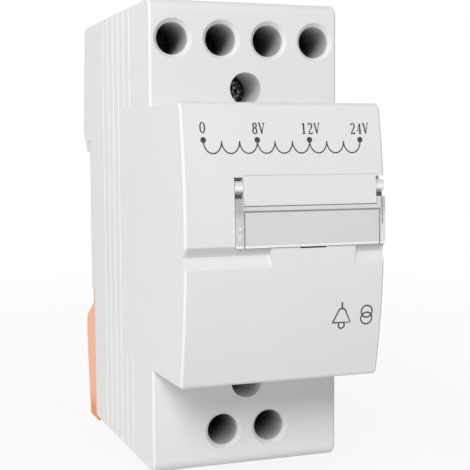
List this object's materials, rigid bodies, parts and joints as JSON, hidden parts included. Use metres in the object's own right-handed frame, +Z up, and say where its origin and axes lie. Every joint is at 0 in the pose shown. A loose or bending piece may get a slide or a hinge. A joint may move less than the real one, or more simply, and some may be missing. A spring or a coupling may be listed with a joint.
{
  "type": "doorbell transformer",
  "caption": "Rail-mounted bell transformer: two-module casing with curved nose, hinged label window, screw terminals with lift cages and a sprung rail clip.",
  "frame": {"origin": "middle of the flat seat that rests on the mounting rail", "axes": "+X to the right as seen from the front, +Y into the wall, +Z up; the front faces -Y"},
  "size_m": [0.036, 0.0756, 0.0906],
  "materials": {
    "grey_casing": "fine moulded grain, pale grey",
    "orange_clip": "satin moulded orange",
    "clear_window": "smoky clear moulding",
    "label_card": "plain card",
    "plated_screw": "zinc plated",
    "spring_steel": "drawn wire",
    "cage_steel": "zinc plated",
    "contact_brass": "rolled",
    "core_iron": "stacked laminations, varnished",
    "strap_steel": "folded sheet",
    "bobbin_plastic": "moulded",
    "copper_wire": "enamelled winding",
    "yellow_tape": "insulating tape",
    "fuse_body": "small round fuse",
    "lead_white": "insulated lead",
    "lead_black": "insulated lead"
  },
  "bodies": {
    "casing": {"front_casing": "grey_casing", "rear_base": "grey_casing", "clip_spring": "spring_steel", "label_card": "label_card", "case_screw_top": "plated_screw", "case_screw_bottom": "plated_screw", "core_e": "core_iron", "core_i": "core_iron", "core_strap": "strap_steel", "bobbin": "bobbin_plastic", "primary_winding": "copper_wire", "secondary_winding": "copper_wire", "primary_tape": "yellow_tape", "secondary_tape": "yellow_tape", "thermal_fuse": "fuse_body", "contact_bar_top_1": "contact_brass", "lead_top_1": "lead_white", "contact_bar_top_2": "contact_brass", "lead_top_2": "lead_white", "contact_bar_top_3": "contact_brass", "lead_top_3": "lead_white", "contact_bar_top_4": "contact_brass", "lead_top_4": "lead_white", "contact_bar_bottom_1": "contact_brass", "lead_bottom_1": "lead_black", "contact_bar_bottom_2": "contact_brass", "lead_bottom_2": "lead_black"},
    "flap": {"label_flap": "clear_window"},
    "clip": {"rail_clip": "orange_clip"},
    "screw_top_1": {"terminal_screw_top_1": "plated_screw"},
    "cage_top_1": {"terminal_cage_top_1": "cage_steel"},
    "screw_top_2": {"terminal_screw_top_2": "plated_screw"},
    "cage_top_2": {"terminal_cage_top_2": "cage_steel"},
    "screw_top_3": {"terminal_screw_top_3": "plated_screw"},
    "cage_top_3": {"terminal_cage_top_3": "cage_steel"},
    "screw_top_4": {"terminal_screw_top_4": "plated_screw"},
    "cage_top_4": {"terminal_cage_top_4": "cage_steel"},
    "screw_bottom_1": {"terminal_screw_bottom_1": "plated_screw"},
    "cage_bottom_1": {"terminal_cage_bottom_1": "cage_steel"},
    "screw_bottom_2": {"terminal_screw_bottom_2": "plated_screw"},
    "cage_bottom_2": {"terminal_cage_bottom_2": "cage_steel"}
  },
  "joints": [
    {"name": "flap_hinge", "type": "hinge", "parent": "casing", "child": "flap", "pos_m": [0, -0.06707, 0.0098], "axis": [-1, 0, 0], "range_deg": [0, 115]},
    {"name": "clip_slide", "type": "slide", "parent": "casing", "child": "clip", "axis": [0, 0, -1], "range_m": [0, 0.0045], "stiffness_N_per_m": 2000, "springref_m": -0.002, "deforming": ["clip_spring"]},
    {"name": "screw_turn_top_1", "type": "hinge", "parent": "casing", "child": "screw_top_1", "pos_m": [-0.01365, -0.03, 0.03558], "axis": [0, 1, 0], "range_deg": [0, 2340]},
    {"name": "cage_lift_top_1", "type": "slide", "parent": "casing", "child": "cage_top_1", "axis": [0, -1, 0], "range_m": [0, 0.0039]},
    {"name": "screw_turn_top_2", "type": "hinge", "parent": "casing", "child": "screw_top_2", "pos_m": [-0.00455, -0.03, 0.03558], "axis": [0, 1, 0], "range_deg": [0, 2340]},
    {"name": "cage_lift_top_2", "type": "slide", "parent": "casing", "child": "cage_top_2", "axis": [0, -1, 0], "range_m": [0, 0.0039]},
    {"name": "screw_turn_top_3", "type": "hinge", "parent": "casing", "child": "screw_top_3", "pos_m": [0.00455, -0.03, 0.03558], "axis": [0, 1, 0], "range_deg": [0, 2340]},
    {"name": "cage_lift_top_3", "type": "slide", "parent": "casing", "child": "cage_top_3", "axis": [0, -1, 0], "range_m": [0, 0.0039]},
    {"name": "screw_turn_top_4", "type": "hinge", "parent": "casing", "child": "screw_top_4", "pos_m": [0.01365, -0.03, 0.03558], "axis": [0, 1, 0], "range_deg": [0, 2340]},
    {"name": "cage_lift_top_4", "type": "slide", "parent": "casing", "child": "cage_top_4", "axis": [0, -1, 0], "range_m": [0, 0.0039]},
    {"name": "screw_turn_bottom_1", "type": "hinge", "parent": "casing", "child": "screw_bottom_1", "pos_m": [-0.00455, -0.03, -0.03558], "axis": [0, 1, 0], "range_deg": [0, 2340]},
    {"name": "cage_lift_bottom_1", "type": "slide", "parent": "casing", "child": "cage_bottom_1", "axis": [0, -1, 0], "range_m": [0, 0.0039]},
    {"name": "screw_turn_bottom_2", "type": "hinge", "parent": "casing", "child": "screw_bottom_2", "pos_m": [0.00455, -0.03, -0.03558], "axis": [0, 1, 0], "range_deg": [0, 2340]},
    {"name": "cage_lift_bottom_2", "type": "slide", "parent": "casing", "child": "cage_bottom_2", "axis": [0, -1, 0], "range_m": [0, 0.0039]}
  ],
  "couplings": [
    {"joint": "screw_turn_top_1", "follows": "cage_lift_top_1", "rad_per_m": 10472},
    {"joint": "screw_turn_top_2", "follows": "cage_lift_top_2", "rad_per_m": 10472},
    {"joint": "screw_turn_top_3", "follows": "cage_lift_top_3", "rad_per_m": 10472},
    {"joint": "screw_turn_top_4", "follows": "cage_lift_top_4", "rad_per_m": 10472},
    {"joint": "screw_turn_bottom_1", "follows": "cage_lift_bottom_1", "rad_per_m": 10472},
    {"joint": "screw_turn_bottom_2", "follows": "cage_lift_bottom_2", "rad_per_m": 10472}
  ]
}
